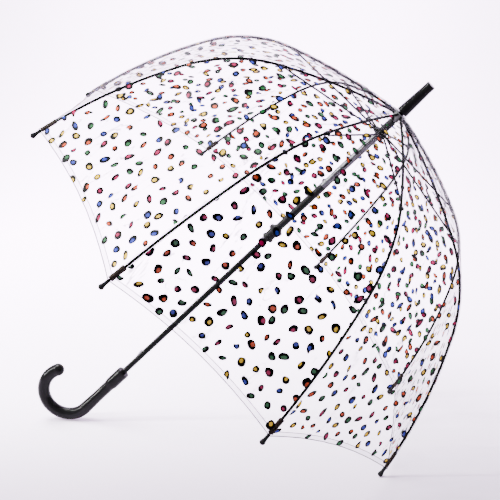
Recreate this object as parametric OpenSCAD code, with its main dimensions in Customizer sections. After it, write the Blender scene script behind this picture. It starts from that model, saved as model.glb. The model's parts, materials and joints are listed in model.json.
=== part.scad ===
// Clear dome umbrella, open, lying on two rib tips and the bow of its crook handle.
// Every piece is drawn in the umbrella's own frame: the shaft is the z axis with the ferrule up,
// z = 0 is the plane of the rib pivots, and the crook opens towards -x. resting() then lays the
// whole umbrella on the ground, z = 0, with its box centred on the origin.
// Side view positions of the ribs are written [r, z], distance from the shaft axis and height.

/* [Canopy] */
// Number of ribs, and of film panels between them
rib_count = 8; // [8]
// Thickness of the film shell
film_t = 0.3; // [0.2:0.1:0.6]
// Distance from a rib's centre line out to the film
film_gap = 3.6; // [3.4:0.1:4.5]
// Share by which the hem rises towards the crown half way between two ribs
hem_scallop = 0.022; // [0:0.002:0.04]
// Share by which the film dips inwards half way between two ribs
film_sag = 0.012; // [0:0.002:0.03]

/* [Ribs] */
// Diameter of a rib rod
rib_d = 4; // [3.6:0.1:4.2]
// Slope of a rib below the horizontal where it leaves the crown
rib_slope = 11.3; // [10:0.1:12.5]
// Length of the upper rib, from its pivot to the elbow
upper_len = 215; // [214:1:216]
// How far the upper rib curves over that length
upper_turn = 12.4; // [12:0.1:13]
// Length of the middle stretch of a rib
mid_len = 154; // [150:1:158]
// How far the middle stretch curves
mid_turn = 35.6; // [34:0.1:37]
// Length of the lower stretch of a rib, up to the end of its tip cap
lower_len = 262; // [258:1:266]
// How far the lower stretch curves
lower_turn = 18; // [16:0.1:20]
// Length of a tip cap
tip_len = 18; // [16:1:20]
// Diameter of the round end of a tip cap
tip_d = 9; // [8:0.5:10]

/* [Runner] */
// Height of the stretcher pivots, with the umbrella open
spread_z = -41.2; // [-43:0.1:-40]
// Outer diameter of the runner's tubes
runner_d = 13; // [12.8:0.1:13.6]
// Bottom of the runner's hand collar, with the umbrella open
collar_end_z = -305.5; // [-307:0.5:-304]
// Diameter of the collar's flange
flange_d = 25; // [22:0.5:27]
// Diameter of a stretcher rod
stretcher_d = 3.2; // [2.6:0.1:3.2]

/* [Shaft and handle] */
// Outer diameter of the shaft tube
shaft_d = 10; // [10]
// Length of the ferrule, from the canopy washer to its end
ferrule_len = 64; // [56:1:72]
// Diameter of the ferrule at its free end
ferrule_end_d = 16; // [14:0.5:17]
// Height of the top of the handle
handle_z = -671.5; // [-680:0.5:-671.5]
// Diameter of the crook's bar, in the bend
crook_d = 22; // [20:0.5:23]
// Diameter of the straight grip above the bend
grip_d = 19.8; // [18:0.2:21]
// Radius of the crook's bend, at the middle of the bar
crook_r = 44; // [42:0.5:48]
// Height of the centre of the bend
crook_z = -777; // [-785:1:-770]
// How far the crook bends round
crook_turn = 205; // [195:1:215]

/* [Hidden] */
$fn = 48;
eps = 0.01;

gore_turn = 360 / rib_count;
rib_r = rib_d / 2;
shaft_r = shaft_d / 2;
shaft_wall = 0.8;
runner_r = runner_d / 2;
runner_bore_r = shaft_r + 0.08;

// Rib pivots at the crown
pivot_r = 8;
notch_r = 11;
wire_r = 0.92;
wire_bore_r = 1;
eye_r = 2.4;
slot_w = 4.4;

// Elbows between the stretches of a rib, where the bent rod straightens as the umbrella closes
elbow_boss_r = 2;
elbow_gap = 2.3;

// The stretchers run beside the ribs, so that a closing rib can pass its stretcher
stretcher_r = stretcher_d / 2;
stretcher_neck_r = 1.2;
stretcher_y = 4.8;
stretcher_eye_t = 2;
spread_pivot_r = 8.2;
spread_bar_r = 0.7;
spread_bore_r = 0.78;
clip_along = upper_len - 8;
clip_len = 11.4;
clip_r = 3;

tip_r = tip_d / 2;
hem_along = upper_len + mid_len + lower_len - tip_len - 0.5;

// The runner's pieces, from the top down
crown_top_z = -14;
tube_top_z = -50;
sleeve_top_z = -172;
collar_len = 30;
collar_z = collar_end_z + collar_len;

// Spring catches in the shaft, on the crook's side
catch_w = 2.4;
catch_out = 2.4;
catch_len = 18;
open_catch_z = collar_end_z - 0.5;
closed_catch_z = -616;
closed_window_z = -252;
window_len = catch_len + 5;

// A point on an arc in the [r, z] plane: it starts at p, heading h degrees below the horizontal,
// and turns downwards by t degrees over its length len
function arc_radius(len, t) = len * 180 / (PI * t);
function arc_point(p, h, len, t) =
    p + arc_radius(len, t) * [sin(h + t) - sin(h), cos(h + t) - cos(h)];

// The rib, as three arcs that run smoothly into each other
upper_start = [pivot_r, 0];
mid_start = arc_point(upper_start, rib_slope, upper_len, upper_turn);
mid_slope = rib_slope + upper_turn;
lower_start = arc_point(mid_start, mid_slope, mid_len, mid_turn);
lower_slope = mid_slope + mid_turn;

// Slope and place at a length s along the rib
function rib_slope_at(s) =
    s < upper_len ? rib_slope + upper_turn * s / upper_len
    : s < upper_len + mid_len ? mid_slope + mid_turn * (s - upper_len) / mid_len
    : lower_slope + lower_turn * (s - upper_len - mid_len) / lower_len;
function rib_point(s) =
    s < upper_len ? arc_point(upper_start, rib_slope, s, upper_turn * s / upper_len)
    : s < upper_len + mid_len + eps
        ? arc_point(mid_start, mid_slope, s - upper_len + eps,
                    mid_turn * (s - upper_len + eps) / mid_len)
    : arc_point(lower_start, lower_slope, s - upper_len - mid_len,
                lower_turn * (s - upper_len - mid_len) / lower_len);

clip_point = rib_point(clip_along);
clip_slope = rib_slope_at(clip_along);
tip_along = upper_len + mid_len + lower_len - tip_r;
tip_point = rib_point(tip_along);

// The resting pose: the ground touches the round ends of two tip caps and the bend of the crook
tip_reach = [tip_point.x * cos(gore_turn / 2) + crook_r, tip_point.y - crook_z];
lean = acos((tip_r - crook_r - crook_d / 2) / norm(tip_reach)) - atan2(tip_reach.x, tip_reach.y);
rest_z = crook_r + crook_d / 2 - crook_r * sin(lean) - crook_z * cos(lean);
rest_x = 268.5;

module resting() translate([rest_x, 0, rest_z]) rotate([0, lean, 0]) children();
module at_rib(k) rotate([0, 0, gore_turn * (k - 0.5)]) children();
// A frame at a point of the rib's plane, whose z axis runs down along the slope
module at_slope(p, slope) translate([p.x, 0, p.y]) rotate([0, 90 + slope, 0]) children();
// A cylinder across the rib's plane
module cross_pin(p, r, y0, y1)
    translate([p.x, y1, p.y]) rotate([90, 0, 0]) cylinder(r = r, h = y1 - y0);
// A round rod along part of an arc, from s0 to s1 of its length
module arc_rod(p, h, len, t, r, s0, s1) {
    bend = arc_radius(len, t);
    translate([p.x - bend * sin(h), 0, p.y - bend * cos(h)])
        rotate([90, 0, 0])
            rotate([0, 0, 90 - h - t * s1 / len])
                rotate_extrude(angle = t * (s1 - s0) / len, $fn = 96)
                    translate([bend, 0]) circle(r = r, $fn = 24);
}

// Canopy: film of constant thickness, with its corners over the ribs and nearly flat panels
film_rows = 26;
film_columns = 4;
film_start = 30;
function film_profile(s, out) =
    rib_point(s) + (film_gap + out) * [sin(rib_slope_at(s)), cos(rib_slope_at(s))];
function film_row(j, rise, out) =
    j == 0 ? [shaft_r + 0.6, 4.2 + out]
    : j == 1 ? [notch_r + 1, 4.2 + out]
    : film_profile(film_start + (hem_along - film_start) * (1 - rise) * (j - 2) / film_rows, out);
function film_point(j, c, out) =
    let (f = (c % film_columns) / film_columns,
         bow = 4 * f * (1 - f) * max(0, j - 2) / film_rows,
         p = film_row(j, hem_scallop * bow, out),
         a = gore_turn * (floor(c / film_columns) + 0.5),
         r = p.x * (1 - film_sag * bow))
    [r * ((1 - f) * cos(a) + f * cos(a + gore_turn)),
     r * ((1 - f) * sin(a) + f * sin(a + gore_turn)),
     p.y];

module canopy() {
    rows = film_rows + 3;
    cols = rib_count * film_columns;
    points = [for (out = [0, film_t]) for (j = [0:rows - 1]) for (c = [0:cols - 1])
              film_point(j, c, out)];
    function at(layer, j, c) = layer * rows * cols + j * cols + c % cols;
    inner = [for (j = [0:rows - 2]) for (c = [0:cols - 1])
             each [[at(0, j, c), at(0, j + 1, c), at(0, j + 1, c + 1)],
                   [at(0, j, c), at(0, j + 1, c + 1), at(0, j, c + 1)]]];
    outer = [for (j = [0:rows - 2]) for (c = [0:cols - 1])
             each [[at(1, j, c), at(1, j + 1, c + 1), at(1, j + 1, c)],
                   [at(1, j, c), at(1, j, c + 1), at(1, j + 1, c + 1)]]];
    hole = [for (c = [0:cols - 1])
            each [[at(0, 0, c), at(0, 0, c + 1), at(1, 0, c + 1)],
                  [at(0, 0, c), at(1, 0, c + 1), at(1, 0, c)]]];
    last = rows - 1;
    hem = [for (c = [0:cols - 1])
           each [[at(0, last, c), at(1, last, c + 1), at(0, last, c + 1)],
                 [at(0, last, c), at(1, last, c), at(1, last, c + 1)]]];
    color([0.93, 0.94, 0.96, 0.35]) resting()
        polyhedron(points, concat(inner, outer, hole, hem));
}

// Shaft: steel tube with two windows for the spring catches
module shaft() color("#1b1b1d") resting() difference() {
    translate([0, 0, -700]) cylinder(r = shaft_r, h = 745);
    translate([0, 0, -701]) cylinder(r = shaft_r - shaft_wall, h = 747);
    for (z = [open_catch_z, closed_catch_z])
        translate([-shaft_r - 1, -catch_w / 2 - 0.3, z - catch_len - 1])
            cube([shaft_r, catch_w + 0.6, catch_len + 1.6]);
}

// A sprung catch: a leaf inside the tube with a nose that leans out through the window
module catch(z) color("#8d9094") resting() translate([0, catch_w / 2, z]) rotate([90, 0, 0])
    linear_extrude(catch_w) polygon([
        [-3, 6], [-2.2, 6], [-2.2, -catch_len - 8], [-3, -catch_len - 8],
        [-3, -catch_len], [-shaft_r - 0.2, -catch_len + 1.5], [-shaft_r - catch_out, -4],
        [-shaft_r - catch_out, 0], [-3, 0]
    ]);

module open_catch() catch(open_catch_z);
module closed_catch() catch(closed_catch_z);

// Ferrule: tapered plastic spike over the top of the shaft, with a straight end
washer_z = 4.2 + film_t + 0.4;
washer_t = 2.4;
module ferrule() color("#161617") resting() translate([0, 0, washer_z + washer_t])
    rotate_extrude() polygon([
        [shaft_r, 0], [9.6, 0], [9.8, 0.6], [9.8, 3], [ferrule_end_d / 2, ferrule_len - 14],
        [ferrule_end_d / 2, ferrule_len - 0.8], [ferrule_end_d / 2 - 0.8, ferrule_len],
        [0, ferrule_len], [0, 38], [shaft_r, 38]
    ]);

// Pale washer that seals the hole in the crown of the canopy
module crown_washer() color([0.8, 0.82, 0.84, 0.6]) resting() translate([0, 0, washer_z])
    difference() {
        cylinder(r1 = notch_r + 0.5, r2 = notch_r - 0.3, h = washer_t);
        translate([0, 0, -1]) cylinder(r = shaft_r, h = washer_t + 2);
    }

module wire_ring(r) for (k = [1:rib_count])
    at_rib(k) cross_pin([pivot_r, 0], r, -pivot_r * tan(gore_turn / 2) - 0.35,
                        pivot_r * tan(gore_turn / 2) + 0.35);

// Top notch: slotted collar fixed to the shaft, in which the ribs hinge
module top_notch() color("#1a1a1c") resting() difference() {
    union() {
        translate([0, 0, -5]) cylinder(r = notch_r, h = 8.6);
        translate([0, 0, -12]) cylinder(r = runner_r, h = 8);
    }
    translate([0, 0, -13]) cylinder(r = shaft_r, h = 18);
    for (k = [1:rib_count])
        at_rib(k) translate([shaft_r + 0.4, -slot_w / 2, -13]) cube([notch_r, slot_w, 15.7]);
    wire_ring(wire_r);
}

// Wire that threads the rib eyes in the notch
module notch_wire() color("#9a9da1") resting() wire_ring(wire_r);

// Crook handle: socket for the shaft, straight grip, bend and rounded end
module handle() color("#121213") resting() difference() {
    union() {
        rotate_extrude() polygon([
            [0, crook_z], [crook_d / 2, crook_z], [grip_d / 2, crook_z + 34],
            [grip_d / 2, handle_z - 41], [11.2, handle_z - 33.5], [11.4, handle_z - 31], [11.4, handle_z - 1.4],
            [10.8, handle_z], [0, handle_z]
        ]);
        translate([-crook_r, 0, crook_z]) {
            rotate([-90, 0, 0]) rotate_extrude(angle = crook_turn, $fn = 96)
                translate([crook_r, 0]) circle(r = crook_d / 2);
            rotate([0, crook_turn, 0]) translate([crook_r, 0, 0])
                sphere(r = crook_d / 2 + 0.4);
        }
    }
    translate([0, 0, -700]) cylinder(r = shaft_r, h = 40);
}

// Runner crown: flange whose slots and moulded bars hold the stretchers
module runner_crown() color("#1a1a1c") resting() {
    slot_top = 5;
    difference() {
        union() {
            translate([0, 0, tube_top_z]) cylinder(r = runner_r, h = crown_top_z - tube_top_z);
            translate([0, 0, spread_z - 5]) cylinder(r = 11.5, h = 8.5);
        }
        translate([0, 0, tube_top_z - 1])
            cylinder(r = runner_bore_r, h = crown_top_z - tube_top_z + 2);
        for (k = [1:rib_count]) at_rib(k)
            translate([5.9, stretcher_y - 1.25, spread_z - 2.4]) cube([6.5, 2.5, slot_top + 2.4]);
    }
    for (k = [1:rib_count]) at_rib(k)
        cross_pin([spread_pivot_r, spread_z], spread_bar_r, stretcher_y - 1.4, stretcher_y + 1.4);
}

// Runner tube: the pale grey stretch of the runner, with its long window and a latch plate
module runner_tube() color("#a9acb2") resting() difference() {
    union() {
        translate([0, 0, sleeve_top_z])
            cylinder(r = runner_r - 0.3, h = tube_top_z - sleeve_top_z);
        translate([0, 0, -64]) cylinder(r = runner_r, h = 14);
        translate([0, 0, sleeve_top_z]) cylinder(r = runner_r, h = 10);
    }
    translate([0, 0, sleeve_top_z - 1])
        cylinder(r = runner_bore_r, h = tube_top_z - sleeve_top_z + 2);
    for (side = [-90, 90])
        rotate([0, 0, side]) translate([shaft_r - 1, -1.3, -124]) cube([5, 2.6, 19]);
}

// Runner sleeve: the long black tube down to the hand collar, with the closed catch's window
module runner_sleeve() color("#1a1a1c") resting() difference() {
    union() {
        translate([0, 0, collar_z - 1])
            cylinder(r = runner_r, h = sleeve_top_z - collar_z + 1);
        translate([0, 0, collar_end_z]) rotate_extrude() polygon([
            [0, 0], [9.8, 0], [10.2, 0.8], [10.2, 3.2], [8.8, 6], [8.8, 18], [flange_d / 2 - 0.6, 18.4],
            [flange_d / 2, 19.2], [flange_d / 2, 20.6], [flange_d / 2 - 0.5, 21.2],
            [flange_d / 2 - 0.5, 21.8], [flange_d / 2, 22.4], [flange_d / 2, 23.4],
            [flange_d / 2 - 0.8, 24.2], [9.4, 25], [runner_r, collar_len], [0, collar_len]
        ]);
    }
    translate([0, 0, collar_end_z - 1])
        cylinder(r = runner_bore_r, h = sleeve_top_z - collar_end_z + 2);
    translate([-runner_r - 1, -catch_w / 2 - 0.4, closed_window_z - window_len + 1])
        cube([runner_r, catch_w + 0.8, window_len]);
}

module upper_rod(k) color("#171718") resting() at_rib(k) difference() {
    union() {
        arc_rod(upper_start, rib_slope, upper_len, upper_turn, rib_r, 1.2, upper_len);
        cross_pin(upper_start, eye_r, -rib_r, rib_r);
        cross_pin(mid_start, elbow_boss_r, -rib_r, rib_r);
    }
    cross_pin(upper_start, wire_bore_r, -rib_r - 1, rib_r + 1);
}

module mid_rod(k) color("#171718") resting() at_rib(k) {
    arc_rod(mid_start, mid_slope, mid_len, mid_turn, rib_r, elbow_gap, mid_len);
    cross_pin(lower_start, elbow_boss_r, -rib_r, rib_r);
}

module lower_rod(k) color("#171718") resting() at_rib(k)
    arc_rod(lower_start, lower_slope, lower_len, lower_turn, rib_r, elbow_gap, lower_len - 8);

// Tip cap: slim neck and a round end, pushed over the end of the rod
module cap(k) color("#141415") resting() at_rib(k) difference() {
    at_slope(tip_point, rib_slope_at(tip_along)) {
        sphere(r = tip_r);
        rotate_extrude() polygon([
            [0, tip_r - tip_len], [2.6, tip_r - tip_len], [2.9, tip_r - tip_len + 1],
            [2.9, -7], [tip_r * cos(30), -tip_r * sin(30)], [0, -tip_r * sin(30)]
        ]);
    }
    at_slope(tip_point, rib_slope_at(tip_along))
        translate([0, 0, tip_r - tip_len - 1]) cylinder(r = rib_r + 0.05, h = 11.2);
}

// Joint fitting: a saddle on the rib that carries the stretcher's outer pivot
module clip(k) color("#1a1a1c") resting() at_rib(k) difference() {
    union() {
        at_slope(clip_point, clip_slope) translate([0.5, 0, -clip_len / 2])
            cylinder(r = clip_r, h = clip_len);
        cross_pin(clip_point, 2.6, -2.9, clip_r);
    }
    arc_rod(upper_start, rib_slope, upper_len, upper_turn, rib_r, clip_along - 10,
            clip_along + 7.9);
}

// Stretcher: thin rod with a flat eye at each end and the rivet of its outer pivot
module stretcher(k) color("#171718") resting() at_rib(k) {
    reach = clip_point - [spread_pivot_r, spread_z];
    y0 = stretcher_y - stretcher_eye_t / 2;
    y1 = stretcher_y + stretcher_eye_t / 2;
    difference() {
        union() {
            translate([spread_pivot_r, stretcher_y, spread_z])
                rotate([0, 90 - atan2(reach.y, reach.x), 0]) {
                    translate([0, 0, 1.4]) cylinder(r = stretcher_neck_r, h = norm(reach) - 2.4);
                    translate([0, 0, 9]) cylinder(r = stretcher_r, h = norm(reach) - 20);
                }
            cross_pin([spread_pivot_r, spread_z], 2, y0, y1);
            cross_pin(clip_point, 2.3, y0, y1);
            cross_pin(clip_point, 1.3, y0, y1 + 0.6);
        }
        cross_pin([spread_pivot_r, spread_z], spread_bore_r, y0 - 1, y1 + 1);
    }
}

canopy();
shaft();
ferrule();
crown_washer();
top_notch();
notch_wire();
handle();
open_catch();
closed_catch();
runner_crown();
runner_tube();
runner_sleeve();
for (k = [1:rib_count]) {
    upper_rod(k);
    mid_rod(k);
    lower_rod(k);
    cap(k);
    clip(k);
    stretcher(k);
}
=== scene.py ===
import bpy
import json
import math
import random
import numpy as np
from mathutils import Vector, Matrix
from mathutils.geometry import delaunay_2d_cdt


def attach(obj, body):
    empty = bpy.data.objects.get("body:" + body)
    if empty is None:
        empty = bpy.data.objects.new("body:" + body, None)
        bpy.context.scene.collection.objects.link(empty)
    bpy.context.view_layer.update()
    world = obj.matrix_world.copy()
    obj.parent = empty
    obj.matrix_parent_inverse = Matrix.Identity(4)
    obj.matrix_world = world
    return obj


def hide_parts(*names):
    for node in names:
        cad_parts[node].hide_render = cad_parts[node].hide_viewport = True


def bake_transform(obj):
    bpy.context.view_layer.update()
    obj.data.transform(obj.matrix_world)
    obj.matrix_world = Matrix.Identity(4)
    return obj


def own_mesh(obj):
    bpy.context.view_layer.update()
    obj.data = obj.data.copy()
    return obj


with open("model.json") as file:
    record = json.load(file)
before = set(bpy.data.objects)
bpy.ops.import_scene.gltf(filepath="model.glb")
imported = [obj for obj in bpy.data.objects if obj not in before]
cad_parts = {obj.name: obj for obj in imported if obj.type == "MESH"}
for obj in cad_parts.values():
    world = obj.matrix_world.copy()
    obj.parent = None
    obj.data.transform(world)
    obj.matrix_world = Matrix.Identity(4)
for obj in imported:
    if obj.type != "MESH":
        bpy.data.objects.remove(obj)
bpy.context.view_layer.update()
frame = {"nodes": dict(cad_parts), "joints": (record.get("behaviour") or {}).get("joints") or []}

# Lengths are in metres and angles in radians throughout.

# ---------------------------------------------------------------- the umbrella's own frame
# APEX is on the shaft's axis at the height of the rib hinges and UP points from the handle to the
# ferrule. For each rib, OUT points away from the shaft and TAN around it, towards the next rib.
joints = {j["name"]: j for j in frame["joints"]}
RIBS = 8
UP = -np.array(joints["runner_slide"]["axis"], float)
hinge = [np.array(joints[f"rib_hinge_{k}"]["pos_m"], float) for k in range(1, RIBS + 1)]
APEX = sum(hinge) / RIBS
TAN = [np.array(joints[f"rib_hinge_{k}"]["axis"], float) for k in range(1, RIBS + 1)]
OUT = [(h - APEX) / np.linalg.norm(h - APEX) for h in hinge]
HALF = math.pi / RIBS


def at_rib(r, z, k, y=0.0):
    """The point at radius r and height z over APEX in rib k's plane, and y beside that plane."""
    return APEX + OUT[k] * r + UP * z + TAN[k] * y


# The ribs' profile: three arcs, each a length and a turn, as in the frame
PIVOT_R = 0.008                 # radius of the rib hinges
SLOPE = math.radians(11.3)      # of the rib at its hinge, below the horizontal
ARCS = [(0.215, math.radians(12.4)), (0.154, math.radians(35.6)), (0.262, math.radians(18.0))]
TOTAL = sum(a[0] for a in ARCS)
S_ELBOW = [ARCS[0][0], ARCS[0][0] + ARCS[1][0]]
S_HEM = TOTAL - 0.0185          # length along the rib at which the film ends
S_TOP = 0.030                   # and at which it begins to follow the rib
GAP = 0.00375                   # from the rib's centre line to the film


def rib_at(s):
    """r, z and slope below the horizontal at a length along the rib."""
    p, h = np.array([PIVOT_R, 0.0]), SLOPE
    for length, turn in ARCS:
        part = min(s, length)
        if part > 0:
            big = length / turn
            t = turn * part / length
            p = p + big * np.array([math.sin(h + t) - math.sin(h),
                                    math.cos(h + t) - math.cos(h)])
            h += t
        s -= part
        if s <= 0:
            break
    return p[0], p[1], h


# ---------------------------------------------------------------- film surface
# A gore is laid out flat: x across it, 0 half way between its ribs, and y from the crown's hole to
# the hem. The rows give the radius and height at which the film crosses the ribs.
def film_profile(s):
    r, z, h = rib_at(s)
    return r + GAP * math.sin(h), z + GAP * math.cos(h)


rows = [(0.0058, 0.0044), (0.0085, 0.0044), (0.0120, 0.0043)]   # flat under the crown washer
row_s = [-0.03, -0.02, -0.01]                                   # stand-ins, they are on no rib
for s in np.linspace(S_TOP, S_HEM, 150):
    rows.append(film_profile(s))
    row_s.append(s)
rows = np.array(rows)
row_s = np.array(row_s)
ROW_R, ROW_Z = rows[:, 0], rows[:, 1]
flat_step = np.hypot(np.diff(ROW_R * math.cos(HALF)), np.diff(ROW_Z))
ROW_Y = np.concatenate([[0.0], np.cumsum(flat_step)])
Y_END = ROW_Y[-1]
SCALLOP, SAG = 0.022, 0.012     # shares by which film between the ribs is shorter, and drawn inwards


def y_of(s):
    """The flat pattern's y at a length along the rib."""
    return float(np.interp(s, row_s, ROW_Y))


Y_TOP = y_of(S_TOP)
Y_CUT = [y_of(S_ELBOW[0]), y_of(S_ELBOW[1])]
ROW_MID = 0.5 * (ROW_Y[1:] + ROW_Y[:-1])


def half_width(y):
    """Of the flat gore, at a length along it."""
    return np.interp(y, ROW_Y, ROW_R) * math.sin(HALF)


GATHER_HEIGHT, CREASES = 0.0011, 9


def waves(k, x, y, f):
    """Height of the film's soft creases, and of the gathers where it is drawn in at the crown, over
    its surface. f goes from 0 at one rib to 1 at the next, and they die out at both."""
    rng = random.Random(91 + k)
    down = np.clip((y - Y_TOP) / (Y_END - Y_TOP), 0, 1)
    gathers = np.clip((y - 0.010) / 0.030, 0, 1) * np.exp(-((y / 0.16) ** 2))
    d = GATHER_HEIGHT * gathers * np.sin(2 * math.pi * (2.6 * f + 0.9 * y / 0.1) + 1.7 * k)
    for i in range(CREASES):
        wide = rng.uniform(0.018, 0.075)
        slant = rng.uniform(-0.35, 0.35)
        phase = rng.uniform(0, 6.28)
        centre = rng.uniform(0.0, 1.0)
        reach = rng.uniform(0.12, 0.4)
        d += (
            rng.uniform(0.2, 0.55) * 0.001      # height, in millimetres before the factor
            * np.sin((x + slant * (y - 0.25)) / wide * 2 * math.pi + phase)
            * np.exp(-(((down - centre) / reach) ** 2))
        )
    edge = np.sin(math.pi * np.clip(f, 0, 1)) ** 0.8
    return d * edge


def film_points(k, x, y):
    """Points of gore k, between rib k and the next, from flat pattern coordinates."""
    x, y = np.asarray(x, float), np.asarray(y, float)
    f = np.clip(x / (2 * half_width(y)) + 0.5, -0.02, 1.02)
    t = np.clip((y - Y_TOP) / (Y_END - Y_TOP), 0, 1)
    bow = 4 * f * (1 - f) * t
    y2 = np.where(y > Y_TOP, Y_TOP + (y - Y_TOP) * (1 - SCALLOP * bow), y)
    r = np.interp(y2, ROW_Y, ROW_R) * (1 - SAG * bow)
    z = np.interp(y2, ROW_Y, ROW_Z)
    a, b = OUT[k], OUT[(k + 1) % RIBS]
    p = APEX + r[:, None] * ((1 - f)[:, None] * a + f[:, None] * b) + z[:, None] * UP
    # the creases stand out along the normal of the flat gore
    mid = (a + b) / np.linalg.norm(a + b)
    dr = np.interp(y, ROW_MID, np.diff(ROW_R) / np.diff(ROW_Y)) * math.cos(HALF)
    dz = np.interp(y, ROW_MID, np.diff(ROW_Z) / np.diff(ROW_Y))
    n = (-dz)[:, None] * mid + dr[:, None] * UP
    n /= np.linalg.norm(n, axis=1)[:, None]
    return p + n * waves(k, x, y, f)[:, None]


def film_normals(k, x, y):
    """Outward normals of gore k's surface, from the points just beside each point."""
    e = 0.0006
    w = half_width(y)
    dx = film_points(k, np.clip(x + e, -w, w), y) - film_points(k, np.clip(x - e, -w, w), y)
    dy = film_points(k, x, np.clip(y + e, 0, Y_END)) - film_points(k, x, np.clip(y - e, 0, Y_END))
    n = np.cross(dx, dy)
    inner_point = APEX - 0.3 * UP
    flip = np.sum(n * (film_points(k, x, y) - inner_point), axis=1) < 0
    n[flip] *= -1
    return n / np.maximum(np.linalg.norm(n, axis=1), 1e-12)[:, None]


# ---------------------------------------------------------------- materials
def material(name):
    m = bpy.data.materials.new(name)
    m.use_nodes = True
    nt = m.node_tree
    nt.nodes.clear()
    out = nt.nodes.new("ShaderNodeOutputMaterial")
    return m, nt, out


def add(nt, kind, **settings):
    n = nt.nodes.new(kind)
    for key, v in settings.items():
        setattr(n, key, v)
    return n


def mottle(nt, vector, colour, scale, detail, high):
    """Noise that makes a colour slightly darker and lighter. The colour and the noise come back."""
    noise = add(nt, "ShaderNodeTexNoise")
    noise.inputs["Scale"].default_value = scale
    noise.inputs["Detail"].default_value = detail
    nt.links.new(vector, noise.inputs["Vector"])
    ramp = add(nt, "ShaderNodeValToRGB")
    ramp.color_ramp.elements[0].position = 0.3
    ramp.color_ramp.elements[1].position = high
    ramp.color_ramp.elements[0].color = (*[c * 0.7 for c in colour], 1)
    ramp.color_ramp.elements[1].color = (*[min(1, c * 1.35) for c in colour], 1)
    nt.links.new(noise.outputs["Fac"], ramp.inputs["Fac"])
    return ramp.outputs["Color"], noise.outputs["Fac"]


def solid_material(name, base, rough, spread, bump, scale, shine=0.05, metal=0.0):
    """Moulded plastic, enamel or metal: faint mottling of colour and gloss, and a fine bump."""
    m, nt, out = material(name)
    L = nt.links.new
    bsdf = add(nt, "ShaderNodeBsdfPrincipled")
    bsdf.inputs["Metallic"].default_value = metal
    bsdf.inputs["Specular IOR Level"].default_value = 0.5 if metal else shine
    coord = add(nt, "ShaderNodeTexCoord")
    mottled, noise = mottle(nt, coord.outputs["Object"], base, scale, 4, 0.75)
    L(mottled, bsdf.inputs["Base Color"])
    uneven = add(nt, "ShaderNodeMapRange")
    uneven.inputs["To Min"].default_value = rough - spread
    uneven.inputs["To Max"].default_value = rough + spread
    L(noise, uneven.inputs["Value"])
    L(uneven.outputs["Result"], bsdf.inputs["Roughness"])
    fine = add(nt, "ShaderNodeTexNoise")
    fine.inputs["Scale"].default_value = scale * 6
    fine.inputs["Detail"].default_value = 2
    L(coord.outputs["Object"], fine.inputs["Vector"])
    grain = add(nt, "ShaderNodeBump")
    grain.inputs["Strength"].default_value = bump
    grain.inputs["Distance"].default_value = 0.0002
    L(fine.outputs["Fac"], grain.inputs["Height"])
    L(grain.outputs["Normal"], bsdf.inputs["Normal"])
    L(bsdf.outputs["BSDF"], out.inputs["Surface"])
    return m


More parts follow.
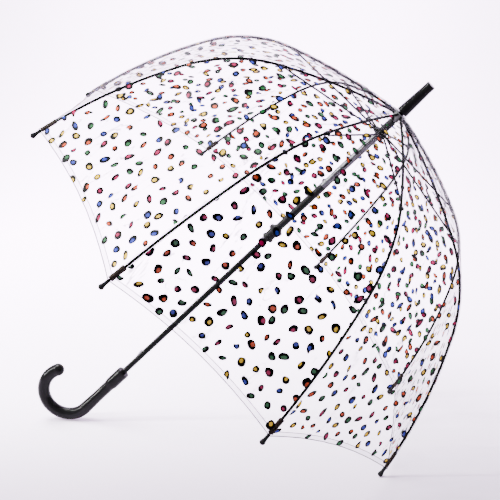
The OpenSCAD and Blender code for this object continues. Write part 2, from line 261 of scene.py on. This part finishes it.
def film_material(name, tint, edge, gloss, crease_shade=0.0):
    """Clear PVC: what is behind shows through it. It shines where it is seen edge on, and there its
    tint darkens as painted shade. Fine creases and broader folds run along the gore as dark lines
    and grey streaks of painted shade, and a slight waviness breaks up the gloss. edge is the tint's
    share that is left edge on, the last argument the strength of the painted shade of the creases
    and folds."""
    m, nt, out = material(name)
    L = nt.links.new
    uv = add(nt, "ShaderNodeUVMap")
    uv.uv_map = "flat"
    mapping = add(nt, "ShaderNodeMapping")
    mapping.inputs["Scale"].default_value = (26, 5, 1)
    L(uv.outputs["UV"], mapping.inputs["Vector"])
    noise = add(nt, "ShaderNodeTexNoise")
    noise.inputs["Scale"].default_value = 1.6
    noise.inputs["Detail"].default_value = 5
    noise.inputs["Distortion"].default_value = 0.6
    L(mapping.outputs["Vector"], noise.inputs["Vector"])
    bump = add(nt, "ShaderNodeBump")
    bump.inputs["Strength"].default_value = 0.35
    bump.inputs["Distance"].default_value = 0.0022
    L(noise.outputs["Fac"], bump.inputs["Height"])
    facing = add(nt, "ShaderNodeLayerWeight")
    facing.inputs["Blend"].default_value = 0.5
    L(bump.outputs["Normal"], facing.inputs["Normal"])
    rim = add(nt, "ShaderNodeMath", operation="POWER")
    L(facing.outputs["Facing"], rim.inputs[0])
    rim.inputs[1].default_value = 4.0
    # the tint of what is seen through: clear, with painted shade edge on and dark lines of painted
    # shade along the creases
    edge_shaded = add(nt, "ShaderNodeMix", data_type="RGBA")
    edge_shaded.inputs["A"].default_value = (*tint, 1)
    edge_shaded.inputs["B"].default_value = (*[c * edge for c in tint], 1)
    L(rim.outputs["Value"], edge_shaded.inputs["Factor"])
    crease_shade_lines = add(nt, "ShaderNodeMapRange")
    crease_shade_lines.inputs["From Min"].default_value = 0.0
    crease_shade_lines.inputs["From Max"].default_value = 0.010
    crease_shade_lines.inputs["To Min"].default_value = crease_shade
    crease_shade_lines.inputs["To Max"].default_value = 0.0
    away = add(nt, "ShaderNodeMath", operation="SUBTRACT")
    L(noise.outputs["Fac"], away.inputs[0])
    away.inputs[1].default_value = 0.60
    size = add(nt, "ShaderNodeMath", operation="ABSOLUTE")
    L(away.outputs["Value"], size.inputs[0])
    L(size.outputs["Value"], crease_shade_lines.inputs["Value"])
    crease_shaded = add(nt, "ShaderNodeMix", data_type="RGBA")
    L(edge_shaded.outputs["Result"], crease_shaded.inputs["A"])
    crease_shaded.inputs["B"].default_value = (0.10, 0.10, 0.11, 1)
    L(crease_shade_lines.outputs["Result"], crease_shaded.inputs["Factor"])
    # painted shade: grey streaks for folds along the gore, only where the film is seen at a slant
    folds = add(nt, "ShaderNodeTexNoise")
    folds.inputs["Scale"].default_value = 1.0
    folds.inputs["Detail"].default_value = 3
    wide = add(nt, "ShaderNodeMapping")
    wide.inputs["Scale"].default_value = (95, 4, 1)
    L(uv.outputs["UV"], wide.inputs["Vector"])
    L(wide.outputs["Vector"], folds.inputs["Vector"])
    strong = add(nt, "ShaderNodeMapRange")
    strong.inputs["From Min"].default_value = 0.52
    strong.inputs["From Max"].default_value = 0.72
    L(folds.outputs["Fac"], strong.inputs["Value"])
    slant = add(nt, "ShaderNodeMapRange")
    slant.inputs["From Min"].default_value = 0.40
    slant.inputs["From Max"].default_value = 0.85
    slant.inputs["To Max"].default_value = crease_shade
    L(facing.outputs["Facing"], slant.inputs["Value"])
    # and more of that painted shade where the film is drawn in at the crown
    along = add(nt, "ShaderNodeSeparateXYZ")
    L(uv.outputs["UV"], along.inputs["Vector"])
    drawn = add(nt, "ShaderNodeMapRange")
    drawn.inputs["From Min"].default_value = 0.03
    drawn.inputs["From Max"].default_value = 0.30
    drawn.inputs["To Min"].default_value = 1.6 * crease_shade
    drawn.inputs["To Max"].default_value = 0.0
    L(along.outputs["Y"], drawn.inputs["Value"])
    slanted = add(nt, "ShaderNodeMath", operation="MULTIPLY_ADD")
    L(drawn.outputs["Result"], slanted.inputs[0])
    L(facing.outputs["Facing"], slanted.inputs[1])
    L(slant.outputs["Result"], slanted.inputs[2])
    both = add(nt, "ShaderNodeMath", operation="MULTIPLY")
    L(strong.outputs["Result"], both.inputs[0])
    L(slanted.outputs["Value"], both.inputs[1])
    fold_shaded = add(nt, "ShaderNodeMix", data_type="RGBA")
    L(crease_shaded.outputs["Result"], fold_shaded.inputs["A"])
    fold_shaded.inputs["B"].default_value = (0.16, 0.16, 0.18, 1)
    L(both.outputs["Value"], fold_shaded.inputs["Factor"])
    clear = add(nt, "ShaderNodeBsdfTransparent")
    L(fold_shaded.outputs["Result"], clear.inputs["Color"])
    body = add(nt, "ShaderNodeBsdfPrincipled")
    body.inputs["Base Color"].default_value = (0.93, 0.93, 0.96, 1)
    body.inputs["Metallic"].default_value = 1.0
    body.inputs["Roughness"].default_value = 0.07
    L(bump.outputs["Normal"], body.inputs["Normal"])
    share = add(nt, "ShaderNodeMapRange")
    share.inputs["To Min"].default_value = 0.001
    share.inputs["To Max"].default_value = gloss
    L(rim.outputs["Value"], share.inputs["Value"])
    mix = add(nt, "ShaderNodeMixShader")
    L(share.outputs["Result"], mix.inputs["Fac"])
    L(clear.outputs["BSDF"], mix.inputs[1])
    L(body.outputs["BSDF"], mix.inputs[2])
    L(mix.outputs["Shader"], out.inputs["Surface"])
    return m


def ink_material(name, colour, density=1.0):
    """Printed ink on the film, seen from both sides, slightly uneven."""
    m, nt, out = material(name)
    L = nt.links.new
    ink = add(nt, "ShaderNodeBsdfPrincipled")
    ink.inputs["Roughness"].default_value = 0.35
    ink.inputs["Specular IOR Level"].default_value = 0.02
    uv = add(nt, "ShaderNodeUVMap")
    uv.uv_map = "flat"
    mottled, _ = mottle(nt, uv.outputs["UV"], colour, 260, 3, 0.7)
    L(mottled, ink.inputs["Base Color"])
    if density >= 1.0:
        L(ink.outputs["BSDF"], out.inputs["Surface"])
        return m
    clear = add(nt, "ShaderNodeBsdfTransparent")
    mix = add(nt, "ShaderNodeMixShader")
    mix.inputs["Fac"].default_value = density
    L(clear.outputs["BSDF"], mix.inputs[1])
    L(ink.outputs["BSDF"], mix.inputs[2])
    L(mix.outputs["Shader"], out.inputs["Surface"])
    return m


FILM = film_material("clear_film", (0.998, 0.998, 1.0), 0.62, 0.05, 0.75)
HEM = film_material("film_hem", (0.82, 0.82, 0.83), 0.50, 0.08)
WELD = film_material("film_weld", (0.03, 0.03, 0.032), 0.5, 0.08)
INK = [
    ink_material("ink_black", (0.0006, 0.0006, 0.0006)),
    ink_material("ink_magenta", (0.2, 0.0, 0.036), 0.995),
    ink_material("ink_orange", (0.34, 0.034, 0.003), 0.995),
    ink_material("ink_blue", (0.012, 0.022, 0.21), 0.995),
    ink_material("ink_green", (0.008, 0.07, 0.019), 0.995),
    ink_material("ink_yellow", (0.5, 0.31, 0.004), 0.995),
]
FILM_SLOTS = [FILM, HEM, WELD] + INK
ON_HEM, ON_WELD, ON_INK = 1, 2, 3     # places in that list; ON_INK is the outlines' black

# ---------------------------------------------------------------- printed spots
PITCH = 0.0262                        # from one spot to the next
ROW_PITCH = PITCH * 0.87              # and from one row of spots to the next
JITTER = 0.22                         # of a pitch, each way
SPOT_SIZES = [0.0055, 0.0062, 0.0069, 0.0078]
SPOT_STRETCHES = [1.0, 1.06, 1.12, 1.2, 1.35]
SPOT_LEAN = math.radians(28)          # of the rows of spots in the pattern
OUTLINE = 0.0014                      # least width of the black beside the coloured middle
SPOT_REACH = 0.014                    # no spot reaches this far from its centre
SPOTS_FROM = 0.022                    # no spots nearer to the crown's hole than this


def soften(pts, cut):
    """Each corner of a closed outline cut off."""
    after = np.roll(pts, -1, axis=0)
    return np.stack([pts * (1 - cut) + after * cut, pts * cut + after * (1 - cut)], 1).reshape(-1, 2)


def blob(rng, at, size, stretch, turn, corners, rough, cut, notch=None):
    """A closed, irregular outline with softened corners, and sometimes a notch in it."""
    pts = []
    start = rng.uniform(0, 6.28)
    for i in range(corners):
        a = start + 2 * math.pi * (i + rng.uniform(-0.22, 0.22)) / corners
        rad = size * (1 + rng.uniform(-rough, rough))
        if notch == i:
            rad *= 0.30
        u, v = rad * math.cos(a) * stretch, rad * math.sin(a) / stretch
        pts.append((at[0] + u * math.cos(turn) - v * math.sin(turn),
                    at[1] + u * math.sin(turn) + v * math.cos(turn)))
    return soften(np.array(pts), cut)


def spots(k):
    """Outline, coloured middle and ink of each spot of one gore, in pattern coordinates."""
    rng = random.Random(500 + 13 * k)
    found = []
    n = 40                            # rows and columns each way, well past the gore's edges
    for i in range(-n, n):
        for j in range(-n, n):
            px = PITCH * (i + 0.5 * (j % 2)) + rng.uniform(-JITTER, JITTER) * PITCH
            py = ROW_PITCH * j + rng.uniform(-JITTER, JITTER) * PITCH
            x = px * math.cos(SPOT_LEAN) - py * math.sin(SPOT_LEAN)
            y = px * math.sin(SPOT_LEAN) + py * math.cos(SPOT_LEAN) + 0.3
            size = rng.choice(SPOT_SIZES) * rng.uniform(0.94, 1.06)
            ink = 1 + (i * 2 + j * 3 + (rng.random() < 0.3)) % 5
            stretch = rng.choice(SPOT_STRETCHES)
            turn = rng.uniform(0, math.pi)
            away = rng.uniform(0, 2 * math.pi)
            notch = 2 if rng.random() < 0.12 else None
            middle = size * rng.uniform(0.42, 0.50)
            off = (size - middle - OUTLINE) * rng.uniform(0.2, 0.9)
            if y < SPOTS_FROM or y > Y_END - 0.001 or abs(x) > float(half_width(y)) + 0.002:
                continue
            outer = blob(rng, (x, y), size, stretch, turn, 7, 0.12, 0.25, notch)
            inner = blob(rng, (x + off * math.cos(away), y + off * math.sin(away)), middle,
                         stretch, turn, 6, 0.16, 0.2)
            found.append((outer, inner, ink, (x, y)))
    return found


def inside(outline, pts):
    """Which points are inside a closed outline."""
    x, y = pts[:, 0], pts[:, 1]
    within = np.zeros(len(pts), bool)
    for (x0, y0), (x1, y1) in zip(outline, np.roll(outline, -1, axis=0)):
        if y0 != y1:
            within ^= ((y0 > y) != (y1 > y)) & (x < (x1 - x0) * (y - y0) / (y1 - y0) + x0)
    return within


# The hem's weld line, and the weld beside each rib, measured in from the gore's own edges
HEM_OUT, HEM_IN = 0.0077, 0.0088
SEAM_OUT, SEAM_IN = 0.0035, 0.0039
SEAM_TOP = Y_TOP + 0.03
CUT_STEP = 0.010                      # between points on the hem and where the bands meet
GRID_STEP, GRID_ROW = 0.014, 0.011    # between the points that fill in the gore
GRID_INSET = 0.006                    # and from them to the gore's edges


def pattern(k):
    """Gore k in the flat pattern: points, triangles, and each triangle's centre and material."""
    verts, edges = [], []

    def chain(pts, closed=False):
        base = len(verts)
        verts.extend([Vector((float(a), float(b))) for a, b in pts])
        n = len(pts)
        edges.extend([(base + i, base + i + 1) for i in range(n - 1)])
        if closed:
            edges.append((base + n - 1, base))

    ys = np.concatenate([[0.0, ROW_Y[1], ROW_Y[2]], np.linspace(Y_TOP, Y_END, 64)])
    chain([(-half_width(y), y) for y in ys])
    chain([(half_width(y), y) for y in ys])
    chain([(0.0, y) for y in ys])
    for y in [0.0] + Y_CUT + [Y_END - HEM_IN, Y_END - HEM_OUT, Y_END]:
        w = float(half_width(y))
        n = max(3, int(2 * w / CUT_STEP))
        chain([(-w + 2 * w * i / n, y) for i in range(n + 1)])
    for sign in (-1, 1):
        for inset in (SEAM_OUT, SEAM_IN):
            chain([(sign * (half_width(y) - inset), y) for y in np.linspace(SEAM_TOP, Y_END, 60)])
    for y in np.arange(0.012, Y_END - 0.01, GRID_ROW):
        w = float(half_width(y)) - GRID_INSET
        n = max(1, int(2 * w / GRID_STEP))
        for i in range(n + 1):
            if w > 0.002:
                verts.append(Vector((-w + 2 * w * i / n, float(y))))
    dots = spots(k)
    for outer, inner, _, _ in dots:
        chain(outer, True)
        chain(inner, True)
    co, _, tri, _, _, _ = delaunay_2d_cdt(verts, edges, [], 0, 1e-7)
    co = np.array([(v.x, v.y) for v in co])
    tri = np.array([t for t in tri if len(t) == 3])
    c = co[tri].mean(axis=1)
    keep = (np.abs(c[:, 0]) < half_width(c[:, 1])) & (c[:, 1] > 0) & (c[:, 1] < Y_END)
    tri, c = tri[keep], c[keep]
    slot = np.zeros(len(tri), int)
    from_rib = half_width(c[:, 1]) - np.abs(c[:, 0])
    seam = (from_rib < SEAM_OUT) & (c[:, 1] > SEAM_TOP)
    slot[c[:, 1] > Y_END - HEM_OUT] = ON_HEM
    slot[(c[:, 1] > Y_END - HEM_IN) & (c[:, 1] < Y_END - HEM_OUT)] = ON_WELD
    slot[(from_rib > SEAM_OUT) & (from_rib < SEAM_IN) & (c[:, 1] > SEAM_TOP)] = ON_WELD
    for outer, inner, ink, (x, y) in dots:
        near = np.where(np.max(np.abs(c - (x, y)), axis=1) < SPOT_REACH)[0]
        slot[near[inside(outer, c[near])]] = ON_INK
        slot[near[inside(inner, c[near])]] = ON_INK + ink
    slot[seam] = ON_HEM
    return co, tri, c, slot


def build(name, verts, faces, materials, slots=None, uv=None, normals=None):
    """A smooth shaded mesh object, with a material slot per face and a flat layout where given."""
    me = bpy.data.meshes.new(name)
    me.from_pydata([tuple(v) for v in verts], [], [tuple(int(i) for i in f) for f in faces])
    for m in materials:
        me.materials.append(m)
    if slots is not None:
        me.polygons.foreach_set("material_index", np.asarray(slots, np.int32))
    me.polygons.foreach_set("use_smooth", np.full(len(me.polygons), True))
    if uv is not None:
        layer = me.uv_layers.new(name="flat")
        idx = np.zeros(len(me.loops), np.int32)
        me.loops.foreach_get("vertex_index", idx)
        layer.data.foreach_set("uv", np.asarray(uv, np.float32)[idx].ravel())
    me.update()
    if normals is not None:
        me.normals_split_custom_set_from_vertices([tuple(n) for n in normals])
    o = bpy.data.objects.new(name, me)
    bpy.context.scene.collection.objects.link(o)
    return o


def tube(path, radius, sides, cap=True):
    """Vertices and faces of a round tube along a path, its rings turned as little as possible."""
    path = np.asarray(path, float)
    n = len(path)
    t = np.gradient(path, axis=0)
    t /= np.linalg.norm(t, axis=1)[:, None]
    ref = np.cross(t[0], [0.3, 0.5, 0.8])
    v, f = [], []
    for i in range(n):
        ref = ref - t[i] * np.dot(ref, t[i])
        ref /= np.linalg.norm(ref)
        other = np.cross(t[i], ref)
        for j in range(sides):
            a = 2 * math.pi * j / sides
            v.append(path[i] + radius * (math.cos(a) * ref + math.sin(a) * other))
    for i in range(n - 1):
        for j in range(sides):
            a, b = i * sides + j, i * sides + (j + 1) % sides
            f.append((a, b, b + sides, a + sides))
    if cap:
        f.append(tuple(range(sides))[::-1])
        f.append(tuple(range((n - 1) * sides, n * sides)))
    return v, f


# Each half gore is in three bands that meet over the rib's elbows: y in the flat pattern, and
# length along the rib
BANDS = [
    ("upper", 0.0, Y_CUT[0], 0.0, S_ELBOW[0]),
    ("mid", Y_CUT[0], Y_CUT[1], S_ELBOW[0], S_ELBOW[1]),
    ("lower", Y_CUT[1], Y_END, S_ELBOW[1], TOTAL),
]
PROUD = 1.2        # above 1, it scales up the share of the canopy's normal in fold_axis's direction
BEAD_R, BEAD_SIDES, BEAD_STEPS = 0.0007, 6, 26      # the rolled edge of the hem


def fold_axis(rib, away, s0, s1):
    """The direction in which half a gore folds up against its rib, so that it ends beside the rib.
    away points from the rib into the gore, around the canopy."""
    slope = 0.5 * (rib_at(s0)[2] + rib_at(s1)[2])
    normal = OUT[rib] * math.sin(slope) + UP * math.cos(slope)
    return away * math.cos(HALF) - normal * math.sin(HALF) * math.sin(slope) * PROUD


for k in range(RIBS):
    co, tri, centre, slot = pattern(k)
    for side in (-1, 1):
        rib = k if side < 0 else (k + 1) % RIBS
        away = TAN[rib] if side < 0 else -TAN[rib]
        for band, y0, y1, s0, s1 in BANDS:
            pick = (centre[:, 0] * side > 0) & (centre[:, 1] > y0) & (centre[:, 1] < y1)
            use, inv = np.unique(tri[pick].ravel(), return_inverse=True)
            x, y = co[use, 0], co[use, 1]
            x = np.clip(x, -half_width(y), half_width(y))
            y = np.clip(y, 0, Y_END)
            p = film_points(k, x, y)
            n = film_normals(k, x, y)
            f = inv.reshape(-1, 3)
            a, b, c = p[f[:, 0]], p[f[:, 1]], p[f[:, 2]]
            flip = np.sum(np.cross(b - a, c - a) * n[f[:, 0]], axis=1) < 0
            f[flip] = f[flip][:, ::-1]
            ids, uv = slot[pick], np.stack([x + 0.5 * k, y], 1)
            if band == "lower":
                hx = np.linspace(0.0, side * float(half_width(Y_END)), BEAD_STEPS)
                hy = np.full(BEAD_STEPS, Y_END)
                edge = film_points(k, hx, hy)
                bead, quads = tube(edge, BEAD_R, BEAD_SIDES, cap=False)
                bead = np.array(bead)
                hx, hy = np.repeat(hx, BEAD_SIDES), np.repeat(hy, BEAD_SIDES)
                bead_n = (bead - np.repeat(edge, BEAD_SIDES, axis=0)) / BEAD_R
                halves = [t for q in quads for t in ((q[0], q[1], q[2]), (q[0], q[2], q[3]))]
                f = np.vstack([f, np.array(halves) + len(p)])
                ids = np.concatenate([ids, np.full(len(halves), ON_WELD)])
                uv = np.vstack([uv, np.stack([hx + 0.5 * k, hy], 1)])
                p, n = np.vstack([p, bead]), np.vstack([n, bead_n])
            o = build(f"film_{band}_{rib + 1}{'a' if side < 0 else 'b'}", p, f, FILM_SLOTS, ids,
                      uv, n)
            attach(o, f"rib_{band}_{rib + 1}")
            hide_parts("canopy")
            elbow = S_ELBOW[1] if band == "lower" else S_ELBOW[0]
            anchor = at_rib(*rib_at(elbow)[:2], rib)
            wide = float(half_width(y1))
            tuple(fold_axis(rib, away, s0, s1))
            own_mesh(o)

# ---------------------------------------------------------------- looks of the frame pieces
# They keep their CAD shape, apart from rib_upper, rib_mid and rib_lower, which rods replace below.
# After each name: colour, roughness and its spread, bump, scale of the mottling, shine.
RIB = solid_material("rib_enamel", (0.0020, 0.0020, 0.0022), 0.36, 0.06, 0.05, 60, 0.02)
PLASTIC = solid_material("moulded_black", (0.008, 0.008, 0.0085), 0.50, 0.06, 0.03, 30, 0.02)
NOTCH = solid_material("moulded_grey", (0.15, 0.15, 0.155), 0.40, 0.06, 0.05, 30, 0.1)
CROWN = solid_material("crown_black", (0.026, 0.026, 0.028), 0.50, 0.06, 0.03, 30, 0.02)
GLOSSY = solid_material("gloss_black", (0.0040, 0.0040, 0.0042), 0.08, 0.03, 0.012, 30, 0.06)
TUBE = solid_material("shaft_enamel", (0.0022, 0.0022, 0.0024), 0.14, 0.03, 0.02, 40, 0.05)
SLEEVE = solid_material("sleeve_black", (0.011, 0.011, 0.0115), 0.32, 0.05, 0.02, 30, 0.04)
GREY = solid_material("grey_tube", (0.115, 0.115, 0.125), 0.26, 0.10, 0.1, 40, metal=0.8)
STEEL = solid_material("bright_steel", (0.45, 0.45, 0.47), 0.3, 0.08, 0.2, 60, metal=1.0)
POCKET = ink_material("pocket_film", (0.020, 0.014, 0.011), 0.80)
WASHER = film_material("crown_washer", (0.85, 0.85, 0.87), 0.45, 0.5)


def painted_dark_rim(m, dark):
    """Paints the base colour of a tube's material darker towards its outline, a painted reflection
    of dark surroundings, as on chrome.
    """
    nt = m.node_tree
    bsdf = next(n for n in nt.nodes if n.type == "BSDF_PRINCIPLED")
    old = bsdf.inputs["Base Color"].links[0].from_socket
    side = add(nt, "ShaderNodeLayerWeight")
    side.inputs["Blend"].default_value = 0.5
    bend = add(nt, "ShaderNodeMapRange")
    bend.inputs["From Min"].default_value = 0.12
    bend.inputs["From Max"].default_value = 0.55
    nt.links.new(side.outputs["Facing"], bend.inputs["Value"])
    mix = add(nt, "ShaderNodeMix", data_type="RGBA")
    nt.links.new(bend.outputs["Result"], mix.inputs["Factor"])
    nt.links.new(old, mix.inputs["A"])
    mix.inputs["B"].default_value = (dark, dark, dark * 1.05, 1)
    nt.links.new(mix.outputs["Result"], bsdf.inputs["Base Color"])


# painted reflection: the grey tube's base colour darkens towards its outline
painted_dark_rim(GREY, 0.008)
LOOKS = {
    "rib_upper": RIB, "rib_mid": RIB, "rib_lower": RIB, "stretcher": RIB,
    "rib_clip": PLASTIC, "tip_cap": PLASTIC, "top_notch": NOTCH, "runner_crown": CROWN,
    "handle": GLOSSY, "ferrule": GLOSSY, "runner_sleeve": SLEEVE, "shaft": TUBE,
    "runner_tube": GREY, "notch_wire": STEEL, "open_catch": STEEL, "closed_catch": STEEL,
    "crown_washer": WASHER,
}
for name, node in frame["nodes"].items():
    look = LOOKS.get(name.rstrip("0123456789").rstrip("_"))
    if look:
        node.data.materials.clear()
        node.data.materials.append(look)

# ---------------------------------------------------------------- rib rods
# Two rods for each rib, which meet half way between its elbows and each bend over one of them
ROD_R, ROD_SIDES, ROD_STEP = 0.0022, 14, 0.004
ROD_FROM, ROD_TO = 0.0016, TOTAL - 0.008    # from the wall of its eye to inside the tip cap
BEND = 0.014                    # a length along the rib on either side of an elbow
S_MID = 0.5 * (S_ELBOW[0] + S_ELBOW[1])
EYE_IN, EYE_OUT, EYE_HALF, EYE_SIDES = 0.00102, 0.0024, 0.0018, 24   # the eye around the wire
EYE_SECTION = ((EYE_IN, -EYE_HALF), (EYE_OUT, -EYE_HALF), (EYE_OUT, EYE_HALF), (EYE_IN, EYE_HALF))


def rib_path(k, s0, s1):
    """Points along rib k's centre line."""
    n = max(2, int(round((s1 - s0) / ROD_STEP)) + 1)
    return np.array([at_rib(*rib_at(s)[:2], k) for s in np.linspace(s0, s1, n)])


for k in range(RIBS):
    for part, s0, s1, cut, a, b in (
        ("crown", ROD_FROM, S_MID, S_ELBOW[0], "upper", "mid"),
        ("rim", S_MID, ROD_TO, S_ELBOW[1], "mid", "lower"),
    ):
        v, f = tube(rib_path(k, s0, s1), ROD_R, ROD_SIDES)
        if part == "crown":
            base = len(v)
            for i in range(EYE_SIDES):
                turn = 2 * math.pi * i / EYE_SIDES
                for rad, y in EYE_SECTION:
                    v.append(at_rib(PIVOT_R + rad * math.cos(turn), rad * math.sin(turn), k, y))
            for i in range(EYE_SIDES):
                here, there = base + 4 * i, base + 4 * ((i + 1) % EYE_SIDES)
                for j in range(4):
                    q = (j + 1) % 4
                    f.append((here + j, there + j, there + q, here + q))
        o = build(f"rod_{part}_{k + 1}", v, f, [RIB])
        tuple(rib_path(k, cut - BEND, cut)[0])
        tuple(rib_path(k, cut, cut + BEND)[-1])
        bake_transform(o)
        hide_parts(f"rib_{a}_{k + 1}", f"rib_{b}_{k + 1}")

# ---------------------------------------------------------------- rib pockets
# A short flattened sleeve of dark film that holds the rib's end to the hem
POCKET_FROM, POCKET_TO = S_HEM - 0.030, S_HEM - 0.003
POCKET_WIDE, POCKET_DEEP, POCKET_WALL = 0.0040, 0.00285, 0.00035
POCKET_LIFT = 0.0002            # it sits this far outwards from the rib's centre line
FLARE = 0.10                    # wider by this share at its two ends
n, sides = 14, 20
for k in range(RIBS):
    v, f = [], []
    for i in range(n + 1):
        r, z, h = rib_at(POCKET_FROM + (POCKET_TO - POCKET_FROM) * i / n)
        flare = 1.0 + FLARE * math.cos(math.pi * i / n) ** 2
        for shell in (0.0, POCKET_WALL):
            for j in range(sides):
                a = 2 * math.pi * j / sides
                wide = (POCKET_WIDE + shell) * flare * math.sin(a)
                deep = (POCKET_DEEP + shell) * math.cos(a) + POCKET_LIFT
                v.append(at_rib(r + deep * math.sin(h), z + deep * math.cos(h), k, wide))
    ring = 2 * sides
    for i in range(n):
        for shell in (0, 1):
            for j in range(sides):
                first = i * ring + shell * sides
                a, b = first + j, first + (j + 1) % sides
                q = (a, b, b + ring, a + ring)
                f.append(q if shell else q[::-1])
    for i in (0, n):
        for j in range(sides):
            a, b = i * ring + j, i * ring + (j + 1) % sides
            f.append((a, b, b + sides, a + sides) if i == 0 else (a, a + sides, b + sides, b))
    o = build(f"rib_pocket_{k + 1}", v, f, [POCKET])
    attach(o, f"rib_lower_{k + 1}")

# ---------------------------------------------------------------- floor, lights and camera
FRONT, RISE_AT, RISE_R = -7.0, 1.6, 1.4     # the paper's front edge, and where and how it bends up
PAPER_TOP, PAPER_HALF = 5.0, 6.0            # its height and half its width


def studio_paper():
    """A sheet of paper that is the floor, and rises behind the umbrella in a round bend. Light and
    shade are painted on it.
    """
    prof = [(FRONT, 0.0), (RISE_AT, 0.0)]
    for i in range(1, 13):
        a = math.pi / 2 * i / 12
        prof.append((RISE_AT + RISE_R * math.sin(a), RISE_R - RISE_R * math.cos(a)))
    prof.append((RISE_AT + RISE_R, PAPER_TOP))
    v, f = [], []
    for y, z in prof:
        v += [(-PAPER_HALF, y, z), (PAPER_HALF, y, z)]
    for i in range(len(prof) - 1):
        f.append((2 * i, 2 * i + 1, 2 * i + 3, 2 * i + 2))
    m, nt, out = material("studio_paper")
    L = nt.links.new
    bsdf = add(nt, "ShaderNodeBsdfPrincipled")
    bsdf.inputs["Roughness"].default_value = 0.9
    bsdf.inputs["Specular IOR Level"].default_value = 0.1
    bsdf.inputs["Emission Color"].default_value = (0.93, 0.69, 1.0, 1)
    coord = add(nt, "ShaderNodeTexCoord")
    split = add(nt, "ShaderNodeSeparateXYZ")
    L(coord.outputs["Object"], split.inputs["Vector"])

    def ramp(value, x0, x1, y0, y1):
        n = add(nt, "ShaderNodeMapRange", interpolation_type="SMOOTHSTEP")
        n.inputs["From Min"].default_value = x0
        n.inputs["From Max"].default_value = x1
        n.inputs["To Min"].default_value = y0
        n.inputs["To Max"].default_value = y1
        L(value, n.inputs["Value"])
        return n.outputs["Result"]

    # paper whose colour darkens towards the camera, a painted shade, and which glows further back
    # and less at the sides, a painted light
    paper = add(nt, "ShaderNodeMix", data_type="RGBA")
    paper.inputs["A"].default_value = (0.36, 0.295, 0.38, 1)
    paper.inputs["B"].default_value = (0.88, 0.80, 0.94, 1)
    L(ramp(split.outputs["Y"], -0.45, 0.15, 0.0, 1.0), paper.inputs["Factor"])
    L(paper.outputs["Result"], bsdf.inputs["Base Color"])
    moved = add(nt, "ShaderNodeMath", operation="ADD")
    L(split.outputs["X"], moved.inputs[0])
    moved.inputs[1].default_value = 0.35
    aside = add(nt, "ShaderNodeMath", operation="ABSOLUTE")
    L(moved.outputs["Value"], aside.inputs[0])
    # painted light: the paper glows, though it is no lamp
    glow = add(nt, "ShaderNodeMath", operation="MULTIPLY")
    L(ramp(split.outputs["Y"], -0.25, 1.2, 0.12, 6.4), glow.inputs[0])
    L(ramp(aside.outputs["Value"], 0.30, 1.15, 1.0, 0.42), glow.inputs[1])
    L(glow.outputs["Value"], bsdf.inputs["Emission Strength"])
    L(bsdf.outputs["BSDF"], out.inputs["Surface"])
    return build("studio_floor", v, f, [m])


floor = studio_paper()

world = bpy.data.worlds.new("studio")
bpy.context.scene.world = world
world.use_nodes = True
bg = world.node_tree.nodes["Background"]
bg.inputs["Color"].default_value = (0.95, 0.94, 0.98, 1)
bg.inputs["Strength"].default_value = 0.6


def area_light(name, at, aim, size, power):
    """A rectangular light that points from one place to another, with its power in watts."""
    d = bpy.data.lights.new(name, "AREA")
    d.shape = "RECTANGLE"
    d.size, d.size_y = size
    d.energy = power
    o = bpy.data.objects.new(name, d)
    o.location = at
    o.rotation_euler = (Vector(aim) - Vector(at)).to_track_quat("-Z", "Y").to_euler()
    bpy.context.scene.collection.objects.link(o)


area_light("key_top", (-0.9, 0.5, 2.8), (0.0, 0.0, 0.2), (1.6, 1.6), 400)
area_light("strip_left", (-2.05, -0.40, 1.35), (-0.10, 0.0, 0.30), (0.07, 1.9), 200)
area_light("fill_left", (-2.6, -1.2, 1.3), (0.0, 0.0, 0.35), (1.4, 2.0), 16)
area_light("rim_right", (2.5, -0.4, 1.6), (0.0, 0.0, 0.35), (1.0, 2.0), 20)

# The camera, fitted so that the umbrella appears as in the photo: where it stands from APEX, and
# its three axes
SENSOR = 36.0                   # millimetres
FOCAL_OVER_WIDTH = 1280.45 / 500.0
CAM_FROM_APEX = Vector((0.07027, -2.04010, 0.44034))
CAM_RIGHT = Vector((0.98888, 0.14630, -0.02485))
CAM_UP = Vector((-0.02209, 0.31070, 0.95021))
CAM_BACK = Vector((0.14681, -0.93920, 0.31047))
cam_data = bpy.data.cameras.new("camera")
cam_data.sensor_width = SENSOR
cam_data.lens = SENSOR * FOCAL_OVER_WIDTH
cam_data.clip_end = 60
cam = bpy.data.objects.new("camera", cam_data)
placed = Matrix((CAM_RIGHT, CAM_UP, CAM_BACK)).transposed().to_4x4()
placed.translation = Vector(APEX) + CAM_FROM_APEX
cam.matrix_world = placed
bpy.context.scene.collection.objects.link(cam)
bpy.context.scene.camera = cam
